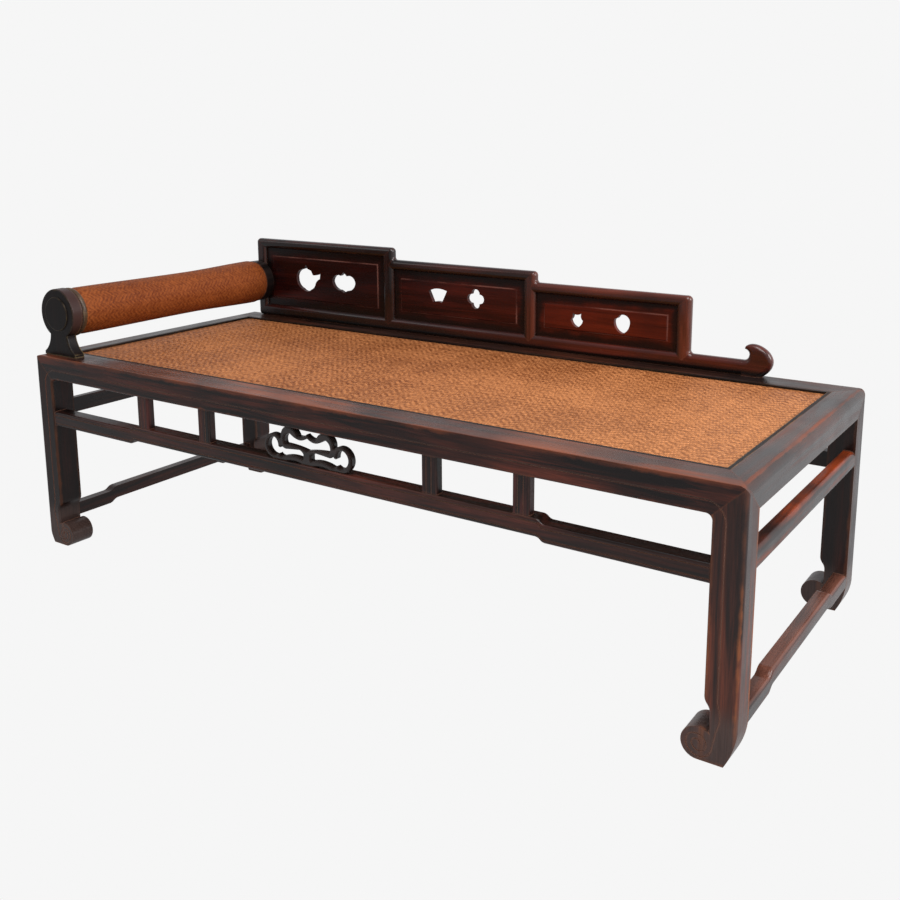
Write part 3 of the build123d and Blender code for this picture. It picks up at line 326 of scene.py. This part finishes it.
def lacquer(
    node,
    along,
    low=None,
    high=None,
    deep=(0.011, 0.0056, 0.0046, 1),
    red=(0.085, 0.019, 0.009, 1),
    rubbed=(0.27, 0.082, 0.026, 1),
    width=0.0045,
    strength=0.7,
    scribed=0.75,
    gloss=0.30,
    recess=0.018,
    handled=0.0,
    shine=0.32,
    faded_and_lit=None,
    settled=(0.35, 0.85),
    rubbed_top=(0.20, 0.055, 0.020, 1),
    line=(0.22, 0.105, 0.070, 1),
    shade_bands=(),
    rounds=0.12,
    scuffed=0.0,
    polish=0.12,
):
    """Lacquered wood for one member, with the grain along it and wear on its own arrises.

    deep and red are the stain, and faded_and_lit its redder colour towards the foot end, partly
    faded wood and partly painted light. rubbed is the colour of the arrises between low and high,
    worn over width with this strength, and of the curved edges, worn and painted as a highlight by
    rounds. line fills the scribed grooves by the share scribed, partly their rubbed fill and partly
    a painted highlight. rubbed_top is where hands have handled the top. shade_bands lists bands of
    painted shade in black as axis, full and clear, measured from the member's low side. recess and
    settled give the painted shade and dirt in corners, scuffed the feet. gloss is the
    lowest roughness, and shine and polish the strength of the highlights.
    """
    material, tree = new_material(node.replace("_", " ") + " lacquer")
    lowest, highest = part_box(node)
    coords = put(tree, "TexCoord").outputs["Object"]
    place = axes(tree, coords)
    shift = len(bpy.data.materials) * cut_apart
    laid = put(
        tree,
        "Mapping",
        {"Vector": coords, "Rotation": turns[along], "Location": (shift, shift * 1.7, -shift)},
    ).outputs[0]
    grain = use(tree, grain_group, Vector=laid)
    patch = noise(tree, coords, 3.2, 3.0)

    # The stain: dark, redder along the streaks and in patches, black in the pores.
    redness = times(tree, grain["Streak"], ramp(tree, patch, 0.36, 0.62, 0.2, 1.35))
    colour = blend(tree, redness, deep, red)
    colour = blend(tree, ramp(tree, grain["Fine"], 0.0, 1.0, 0.5, 0.0), colour, BLACK)
    # Redder towards the foot end, partly faded wood and partly painted light.
    if faded_and_lit:
        faded_and_lit_share = ramp(tree, place[0], faded_lit_from, faded_lit_to)
        faded_and_lit_share = times(tree, faded_and_lit_share, ramp(tree, grain["Streak"], 0.0, 1.0, 0.35, 0.95))
        faded_and_lit_share = times(tree, faded_and_lit_share, ramp(tree, patch, 0.3, 0.6, 0.4, 1.0))
        colour = blend(tree, faded_and_lit_share, colour, faded_and_lit)

    # Painted shade: black in the bands that are named, and painted shade and dirt in every corner.
    # Each band is painted shade, black at full and gone at clear.
    for axis, full, clear in shade_bands:
        inner = minus(tree, place[axis], lowest[axis])
        inner = plus(tree, inner, ramp(tree, patch, 0.3, 0.7, -shade_wander, shade_wander))
        colour = blend(tree, ramp(tree, inner, full, clear, 0.85, 0.0, smooth=True), colour, BLACK)
    # Every corner darkens towards black, painted shade and dirt together.
    full, clear = settled
    corners = use(tree, recess_group, Reach=recess, Full=full, Clear=clear)["Closed In"]
    colour = blend(tree, times(tree, corners, 0.9), colour, BLACK)

    # Use: scuffed near the floor, rubbed on top by hands, worn along the arrises, and worn and
    # painted with a highlight along the curves.
    if scuffed:
        foot = ramp(tree, place[2], scuffed_to, clean_from, scuffed, 0.0, smooth=True)
        foot = times(tree, foot, ramp(tree, grain["Fine"], 0.0, 1.0, 0.6, 1.0))
        colour = blend(tree, foot, colour, SCUFF)
    if handled:
        facing_up = axes(tree, put(tree, "NewGeometry").outputs["Normal"])[2]
        rub = ramp(tree, facing_up, 0.4, 0.95, 0.0, handled, smooth=True)
        rub = times(tree, rub, ramp(tree, patch, 0.38, 0.6))
        rub = times(tree, rub, ramp(tree, grain["Streak"], 0.0, 1.0, 0.45, 1.0))
        colour = blend(tree, rub, colour, rubbed_top)
    box = {"Low": low or lowest, "High": high or highest}
    worn = use(tree, wear_group, Vector=coords, Width=width, **box)["Wear"]
    worn = times(tree, worn, ramp(tree, grain["Fine"], 0.0, 1.0, 0.55 * strength, strength))
    # Curved edges take the rubbed colour, partly as wear and partly as a painted highlight.
    turned = use(tree, round_wear_and_highlight_group, Vector=coords)["Wear"]
    worn = calc(tree, "MAXIMUM", worn, times(tree, turned, rounds))
    colour = blend(tree, worn, colour, rubbed)
    # The scribed grooves take the line colour, partly their rubbed fill and partly a painted
    # highlight.
    grooves = use(tree, recess_group, Reach=groove_reach, Full=0.5, Clear=0.92)["Closed In"]
    colour = blend(tree, times(tree, grooves, scribed), colour, line)

    smudge = noise(tree, coords, 11.0, 4.0)
    rough = ramp(tree, smudge, 0.3, 0.7, gloss - 0.06, gloss + 0.08)
    rough = plus(tree, rough, times(tree, worn, 0.3))
    rough = plus(tree, rough, times(tree, grain["Streak"], 0.16))
    bump = put(tree, "Bump", {"Height": grain["Height"], "Strength": 0.2, "Distance": grain_relief})
    finish_shader(
        tree,
        Base_Color=colour,
        Roughness=rough,
        Normal=bump.outputs["Normal"],
        Specular_IOR_Level=shine,
        Coat_Weight=times(tree, minus(tree, 1.0, times(tree, worn, 0.6)), polish),
        Coat_Roughness=0.16,
    )
    shape = nodes[node].data
    shape.materials.clear()
    shape.materials.append(material)
    return material


lacquer(
    "front_rail",
    "X",
    deep=(0.0085, 0.0050, 0.0050, 1),
    red=(0.15, 0.032, 0.017, 1),
    handled=0.75,
    width=0.010,
    strength=0.75,
    rubbed=(0.20, 0.052, 0.020, 1),
    rubbed_top=(0.25, 0.062, 0.016, 1),
    gloss=0.24,
    shine=0.26,
    line=(0.20, 0.12, 0.095, 1),
)
lacquer("back_rail", "X", handled=0.2, recess=0.07, settled=(0.45, 0.9))
lacquer("head_rail", "Y", width=0.006, handled=0.3)
# The foot rail's outer arris is rounded over, so its wear starts inside its box.
round_over = 0.012
low, high = (Vector(corner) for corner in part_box("foot_rail"))
high.x -= round_over
lacquer(
    "foot_rail",
    "Y",
    low=low,
    high=high,
    width=0.005,
    handled=0.3,
    rubbed=(0.22, 0.055, 0.022, 1),
    strength=0.6,
    gloss=0.2,
)

# Legs: each is one post with its own scroll foot, square in section, its outer arris rounded
# and rubbed orange where hands and feet pass, a scribed line running down into the scroll.
# A leg's box takes in its scroll, so the wear is held to the post alone.
leg_width = 0.06
passed_by = dict(deep=(0.020, 0.0085, 0.0070, 1), red=(0.20, 0.047, 0.022, 1), strength=0.85)
out_of_reach = dict(deep=(0.009, 0.0050, 0.0043, 1), red=(0.050, 0.012, 0.008, 1), strength=0.25)
for node in ("leg_front_head", "leg_front_foot", "leg_back_head", "leg_back_foot"):
    low, high = (Vector(corner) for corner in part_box(node))
    at_head = "head" in node
    if at_head:
        high.x = low.x + leg_width
    else:
        low.x = high.x - leg_width
    lacquer(
        node,
        "Z",
        low=low,
        high=high,
        shine=0.22 if at_head else 0.32,
        width=0.008,
        line=(0.34, 0.17, 0.12, 1),
        scuffed=0.8,
        **(passed_by if node == "leg_front_foot" else out_of_reach),
    )

# Stretchers and struts: humpbacked long stretchers, short struts up to the frame, and side
# stretchers tenoned into the legs, the ones at the foot end rubbed red along their tops.
dull = dict(rubbed=(0.13, 0.04, 0.022, 1), strength=0.3)
# The back stretcher and the struts take a darker stain as painted shade, and the back stretcher a
# darker red as well.
shaded = dict(deep=(0.007, 0.0042, 0.0038, 1), width=0.004)
lacquer("front_stretcher", "X", width=0.005, red=(0.11, 0.024, 0.014, 1), **dull)
lacquer("back_stretcher", "X", red=(0.035, 0.010, 0.007, 1), **shaded, **dull)
for side in ("front", "back"):
    for number in range(1, 5):
        lacquer(f"{side}_strut_{number}", "Z", red=(0.115, 0.021, 0.015, 1), **shaded, **dull)
lacquer("head_side_stretcher", "Y", width=0.005, handled=0.3, **dull)
lacquer(
    "foot_side_stretcher",
    "Y",
    width=0.005,
    handled=1.0,
    red=(0.26, 0.05, 0.014, 1),
    rubbed_top=(0.50, 0.075, 0.014, 1),
    **dull,
)
lacquer("head_floor_stretcher", "Y", width=0.005, handled=0.4, **dull)
# The foot floor stretcher's top is grey tan, partly rubbed and partly a painted highlight.
lacquer(
    "foot_floor_stretcher",
    "Y",
    width=0.005,
    handled=0.8,
    gloss=0.2,
    rubbed_top=(0.22, 0.085, 0.056, 1),
    **dull,
)

# Cloud: a plaque of openwork clouds cut from one board and rounded over with a rasp, let in
# between the rail and the stretcher, nearly black and polished.
lacquer(
    "cloud_carving",
    "X",
    deep=(0.0065, 0.0045, 0.0042, 1),
    red=(0.028, 0.010, 0.008, 1),
    strength=0.0,
    scribed=0.1,
    gloss=0.16,
    shine=0.6,
    rounds=0.1,
    rubbed=(0.10, 0.055, 0.04, 1),
)

# Back railing: round-faced members mitred and tongued together, redder than the frame and
# glossier, with painted shade in black bands along their inner edges.
mahogany = dict(
    deep=(0.0075, 0.0032, 0.0030, 1),
    red=(0.060, 0.010, 0.007, 1),
    rubbed=(0.17, 0.040, 0.017, 1),
    width=0.006,
    strength=0.3,
    gloss=0.18,
    scribed=0.0,
    recess=0.03,
    settled=(0.5, 0.95),
    shine=0.30,
    polish=0.4,
)
for number in range(1, 5):
    lacquer(
        f"railing_stile_{number}",
        "Z",
        faded_and_lit=(0.26, 0.052, 0.021, 1),
        shade_bands=((0, 0.003, 0.019),),
        **mahogany,
    )
for number in range(1, 4):
    lacquer(
        f"railing_top_{number}",
        "X",
        faded_and_lit=(0.18, 0.033, 0.013, 1),
        shade_bands=((2, 0.006, 0.022),),
        **mahogany,
    )
lacquer(
    "railing_base",
    "X",
    faded_and_lit=(0.20, 0.024, 0.008, 1),
    shade_bands=((2, 0.004, 0.014),),
    **mahogany,
)

# Panels: thin boards with a raised field, stained a deeper red and waxed, each pierced with
# two small emblems. Painted shade and dirt go black round the frame, and the rim of the field
# is rubbed and carries a painted highlight.


def build_panel_rim():
    """Painted shade and dirt in the border of a panel, and a rubbed line with a painted highlight
    along the rim of its raised field.
    """
    group, took, give = new_group(
        "panel rim",
        [("Vector", "Vector", None), ("Low", "Vector", None), ("High", "Vector", None)],
        [("Shade And Dirt", "Float"), ("Line", "Float")],
    )
    shade_full, shade_gone, wander = 0.014, 0.034, 0.03
    rim_inset, line_core, line_edge = 0.0308, 0.0006, 0.0022
    from_low = vector_calc(group, "SUBTRACT", took["Vector"], took["Low"])
    from_high = vector_calc(group, "SUBTRACT", took["High"], took["Vector"])
    apart = axes(group, vector_calc(group, "MINIMUM", from_low, from_high))
    inward = calc(group, "MINIMUM", apart[0], apart[2])
    uneven = minus(group, noise(group, took["Vector"], 22.0, 3.0), 0.5)
    uneven = plus(group, inward, times(group, uneven, wander))
    group.links.new(ramp(group, uneven, shade_full, shade_gone, 1.0, 0.0, smooth=True), give["Shade And Dirt"])
    off_rim = calc(group, "ABSOLUTE", minus(group, inward, rim_inset))
    line = ramp(group, off_rim, line_core, line_edge, 1.0, 0.0)
    highlight_patches = ramp(group, noise(group, took["Vector"], 9.0, 2.0), 0.42, 0.62, 0.05, 0.5)
    group.links.new(times(group, line, highlight_patches), give["Line"])
    return group


def paint_over(material, share, colour):
    """Lays one more colour over those that a finished material has."""
    tree = material.node_tree
    shader = next(n for n in tree.nodes if n.type == "BSDF_PRINCIPLED")
    under = shader.inputs["Base Color"].links[0].from_socket
    tree.links.new(blend(tree, share, under, colour), shader.inputs["Base Color"])


rim_group = build_panel_rim()
for number in range(1, 4):
    node = f"railing_panel_{number}"
    stained = lacquer(
        node,
        "X",
        deep=(0.016, 0.0024, 0.0020, 1),
        red=(0.062, 0.0070, 0.0042, 1),
        rubbed=(0.14, 0.02, 0.012, 1),
        faded_and_lit=(0.16, 0.017, 0.004, 1),
        width=0.001,
        strength=0.2,
        gloss=0.2,
        scribed=0.0,
        recess=0.012,
        shine=0.15,
    )
    tree = stained.node_tree
    low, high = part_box(node)
    rim = use(tree, rim_group, Vector=put(tree, "TexCoord").outputs["Object"], Low=low, High=high)
    # The border goes black with painted shade and dirt.
    paint_over(stained, times(tree, rim["Shade And Dirt"], 0.85), BLACK)
    # The rim of the field gets a pale line, partly rubbing and partly a painted highlight.
    paint_over(stained, rim["Line"], (0.30, 0.12, 0.09, 1))

# Woven seat: split rattan in a fine twill over a board, pegged down under four dark laths,
# honey brown, a little slack, and paler towards the front corner of the foot end, partly
# bleached and partly painted light.


def build_weave():
    """A zigzag twill. Across and Along count strands, and Float is how many each passes over."""
    group, took, give = new_group(
        "cane weave",
        [("Across", "Float", 0.0), ("Along", "Float", 0.0), ("Float", "Float", 2.0)],
        [("Height", "Float"), ("Over", "Float"), ("Gap", "Float"), ("Strand", "Float")],
    )
    strands_to_a_turn = 5.0
    other_shades = 511.5

    def rounded(place):
        side = calc(group, "ABSOLUTE", calc(group, "MULTIPLY_ADD", place, 2.0, -1.0))
        return minus(group, 1.0, calc(group, "POWER", side, 3.0))

    def shade_of(cell):
        return put(group, "TexWhiteNoise", {"W": cell}, noise_dimensions="1D").outputs["Value"]

    across_cell = calc(group, "FLOOR", took["Across"])
    along_cell = calc(group, "FLOOR", took["Along"])
    zigzag = calc(group, "PINGPONG", across_cell, strands_to_a_turn)
    repeat = times(group, took["Float"], 2.0)
    twill = calc(group, "FLOORED_MODULO", plus(group, zigzag, along_cell), repeat)
    over = calc(group, "LESS_THAN", twill, took["Float"])
    under = minus(group, 1.0, over)
    warp = rounded(minus(group, took["Across"], across_cell))
    weft = rounded(minus(group, took["Along"], along_cell))
    height = plus(group, times(group, warp, over), times(group, weft, under))
    gap = ramp(group, height, 0.0, 0.35, 1.0, 0.0)
    warp_tone = times(group, shade_of(across_cell), over)
    weft_tone = times(group, shade_of(plus(group, along_cell, other_shades)), under)
    cell = put(group, "CombineXYZ", {0: across_cell, 1: along_cell}).outputs[0]
    cell_tone = put(group, "TexWhiteNoise", {"Vector": cell}, noise_dimensions="2D").outputs["Value"]
    tone = times(group, plus(group, warp_tone, weft_tone), 0.45)
    tone = plus(group, tone, times(group, cell_tone, 0.55))
    for name, value in (("Height", height), ("Over", over), ("Gap", gap), ("Strand", tone)):
        group.links.new(value, give[name])
    return group


weave_group = build_weave()
weave_relief = 0.0008


def rattan(tree, coords, across, along, light, dark, gaps, patch_scale, specks=0.45):
    """Split rattan: each strand its own shade, the strands on top painted lighter as a sheen, dark
    gaps, broad patches of wear, a waxy sheen.
    """
    weave = use(tree, weave_group, Across=across, Along=along)
    patch = noise(tree, coords, patch_scale, 3.0)
    speck = noise(tree, coords, 120.0, 4.0, Roughness=0.65)
    shade = plus(tree, times(tree, weave["Strand"], 0.7), ramp(tree, patch, 0.3, 0.7, -0.3, 0.1))
    # Strands of the warp that lie on top are painted lighter, a painted sheen.
    shade = plus(tree, shade, times(tree, weave["Over"], 0.42))
    specked = ramp(tree, speck, 0.38, 0.62, -0.5 * specks, 0.6 * specks)
    colour = blend(tree, plus(tree, shade, specked, clamp=True), dark, light)
    colour = blend(tree, times(tree, weave["Gap"], 0.6), colour, gaps)
    bump = put(tree, "Bump", {"Height": weave["Height"], "Strength": 0.6, "Distance": weave_relief})
    finish_shader(
        tree,
        Base_Color=colour,
        Roughness=ramp(tree, patch, 0.3, 0.7, 0.46, 0.6),
        Normal=bump.outputs["Normal"],
        Specular_IOR_Level=0.13,
    )


seat_strand = 0.0048
mat_thickness = 0.0022
sag, ripple = 0.0016, 0.0009
tight_ends, tight_sides = 1 / 12, 1 / 6
mat_columns, mat_rows = 90, 36
mat_low, mat_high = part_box("rattan_mat")
mat_middle = (mat_low + mat_high) / 2
mat_size = mat_high - mat_low
bpy.ops.mesh.primitive_grid_add(
    x_subdivisions=mat_columns,
    y_subdivisions=mat_rows,
    size=1,
    location=(mat_middle.x, mat_middle.y, mat_high.z),
)
mat = bpy.context.object
mat.name = "woven_mat"
bpy.ops.object.mode_set(mode="EDIT")
bpy.ops.mesh.select_all(action="SELECT")
bpy.ops.transform.resize(value=(mat_size.x, mat_size.y, 1))
bpy.ops.object.mode_set(mode="OBJECT")
bpy.ops.object.transform_apply(location=True, rotation=True, scale=True)
# The mat is tight round its edges, and slack between them in a few broad, slow waves.
for corner in mat.data.vertices:
    u = (corner.co.x - mat_low.x) / mat_size.x
    v = (corner.co.y - mat_low.y) / mat_size.y
    slack = min(1, min(u, 1 - u) / tight_ends) * min(1, min(v, 1 - v) / tight_sides)
    slack = slack * slack * (3 - 2 * slack)
    waves = sin(9 * u + 2 * v) * cos(5 * v + 3 * u)
    corner.co.z -= slack * (sag + ripple * waves)
thick = mat.modifiers.new("thick", "SOLIDIFY")
thick.thickness = mat_thickness
thick.offset = -1
bpy.context.view_layer.objects.active = mat
bpy.ops.object.modifier_apply(modifier="thick")
bpy.ops.object.shade_smooth()

seat_rattan, tree = new_material("seat rattan")
coords = put(tree, "TexCoord").outputs["Object"]
place = axes(tree, coords)
rattan(
    tree,
    coords,
    across=calc(tree, "DIVIDE", place[0], seat_strand),
    along=calc(tree, "DIVIDE", place[1], seat_strand),
    light=(0.52, 0.196, 0.068, 1),
    dark=(0.165, 0.045, 0.011, 1),
    gaps=(0.08, 0.020, 0.006, 1),
    patch_scale=5.0,
)
# Paler towards the front of the foot end, partly bleached and partly painted light.
bleached_and_lit = ramp(tree, minus(tree, place[0], place[1]), 0.1, 1.2, 0.0, 0.15)
paint_over(seat_rattan, bleached_and_lit, (0.72, 0.34, 0.14, 1))
mat.data.materials.append(seat_rattan)
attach(mat, "root")
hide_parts("rattan_mat")

# The laths are near black. Along the foot lath's arrises the pale rubbed colour is partly wear and
# partly a painted highlight.
for edge, along in (("front", "X"), ("back", "X"), ("head", "Y"), ("foot", "Y")):
    lacquer(
        f"mat_lath_{edge}",
        along,
        deep=(0.0065, 0.0044, 0.0040, 1),
        red=(0.030, 0.010, 0.007, 1),
        rubbed=(0.40, 0.22, 0.10, 1),
        width=0.002,
        strength=0.6 if edge == "foot" else 0.1,
        scribed=0.0,
        gloss=0.5,
        recess=0.006,
        shine=0.12,
        rounds=0.0,
    )

# Under the mat: a plain board on ledges, three braces across and the dowels of the railing
# and the bolster, bare wood gone brown.
raw = dict(
    deep=(0.10, 0.052, 0.028, 1),
    red=(0.19, 0.098, 0.05, 1),
    rubbed=(0.26, 0.15, 0.08, 1),
    gloss=0.62,
    strength=0.3,
    scribed=0.0,
)
lacquer("seat_board", "X", **raw)
for where in ("head", "middle", "foot"):
    lacquer(f"seat_brace_{where}", "Y", **raw)
for dowels in ("railing_dowels", "end_board_dowels"):
    lacquer(dowels, "Z", **raw)

# Bolster: a turned drum behind a carved end board, a tan collar, then a long roll woven over
# a wooden core, waisted in the middle and pegged into the first stile of the railing.
board = lacquer(
    "bolster_end_board",
    "Z",
    deep=(0.006, 0.0042, 0.0038, 1),
    red=(0.022, 0.010, 0.009, 1),
    rubbed=(0.17, 0.115, 0.050, 1),
    strength=0.0,
    line=(0.030, 0.020, 0.016, 1),
    recess=0.008,
    shine=0.12,
    rounds=0.7,
)
# Behind its black face the head of the end board is bare brown wood.
face_depth, brown_depth = 0.003, 0.007
neck_drop, head_drop = 0.12, 0.09
low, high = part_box("bolster_end_board")
tree = board.node_tree
place = axes(tree, put(tree, "TexCoord").outputs["Object"])
brown_side = times(
    tree,
    ramp(tree, place[1], low.y + face_depth, low.y + brown_depth),
    ramp(tree, place[2], high.z - neck_drop, high.z - head_drop),
)
paint_over(board, times(tree, brown_side, 0.85), (0.048, 0.024, 0.021, 1))
lacquer(
    "bolster_front_drum",
    "Y",
    deep=(0.060, 0.027, 0.021, 1),
    red=(0.10, 0.030, 0.019, 1),
    width=0.001,
    strength=0.0,
    scribed=0.0,
    gloss=0.24,
)
lacquer(
    "bolster_rear_drum",
    "Y",
    deep=(0.006, 0.0042, 0.0040, 1),
    red=(0.020, 0.009, 0.007, 1),
    width=0.001,
    strength=0.0,
)
lacquer("bolster_core", "Y", **raw)
lacquer(
    "bolster_collar",
    "Y",
    deep=(0.065, 0.034, 0.016, 1),
    red=(0.21, 0.115, 0.048, 1),
    rubbed=(0.30, 0.21, 0.11, 1),
    scribed=0.0,
    gloss=0.42,
    recess=0.006,
)

roll_sides, roll_rings = 96, 40
front_radius, waist_radius, back_radius = 0.061, 0.0585, 0.064
waist_at = 0.6
end_round, end_drop = 0.006, 0.004
strands_round = 120
strand_pitch = 0.0032
roll_low, roll_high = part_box("bolster_roll")
roll_middle = (roll_low + roll_high) / 2
roll_length = roll_high.y - roll_low.y
bpy.ops.mesh.primitive_cylinder_add(
    vertices=roll_sides,
    radius=1,
    depth=roll_length,
    location=roll_middle,
    rotation=(pi / 2, 0, 0),
    end_fill_type="NGON",
)
bolster = bpy.context.object
bolster.name = "woven_bolster"
bpy.ops.object.transform_apply(location=True, rotation=True, scale=True)
bpy.ops.object.mode_set(mode="EDIT")
shape = bmesh.from_edit_mesh(bolster.data)
long_edges = [e for e in shape.edges if abs(e.verts[0].co.y - e.verts[1].co.y) > roll_length / 2]
bmesh.ops.subdivide_edges(shape, edges=long_edges, cuts=roll_rings, use_grid_fill=True)
# The roll narrows to its waist, swells towards the railing and is tucked in at both ends.
for corner in shape.verts:
    share = (corner.co.y - roll_low.y) / roll_length
    if share < waist_at:
        radius = front_radius - (front_radius - waist_radius) * sin(pi * share / waist_at / 2) ** 2
    else:
        step = (share - waist_at) / (1 - waist_at)
        radius = waist_radius + (back_radius - waist_radius) * step * step * (3 - 2 * step)
    from_end = min(share, 1 - share) * roll_length
    if from_end < end_round:
        radius -= end_drop * (1 - from_end / end_round) ** 2
    side = Vector((corner.co.x - roll_middle.x, 0, corner.co.z - roll_middle.z))
    side = side.normalized() * radius
    corner.co = Vector((roll_middle.x + side.x, corner.co.y, roll_middle.z + side.z))
bmesh.update_edit_mesh(bolster.data)
bpy.ops.object.mode_set(mode="OBJECT")
bpy.ops.object.shade_smooth_by_angle(angle=radians(40))

roll_rattan, tree = new_material("bolster rattan")
coords = put(tree, "TexCoord").outputs["Object"]
centred = put(tree, "Mapping", {"Vector": coords, "Location": (-roll_middle.x, 0, -roll_middle.z)})
place = axes(tree, centred.outputs[0])
angle = calc(tree, "ARCTAN2", place[2], place[0])
rattan(
    tree,
    coords,
    across=times(tree, angle, strands_round / (2 * pi)),
    along=calc(tree, "DIVIDE", place[1], strand_pitch),
    light=(0.275, 0.071, 0.0155, 1),
    dark=(0.13, 0.026, 0.0052, 1),
    gaps=(0.04, 0.007, 0.002, 1),
    patch_scale=9.0,
    specks=0.6,
)
bolster.data.materials.append(roll_rattan)
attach(bolster, "root")
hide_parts("bolster_roll")
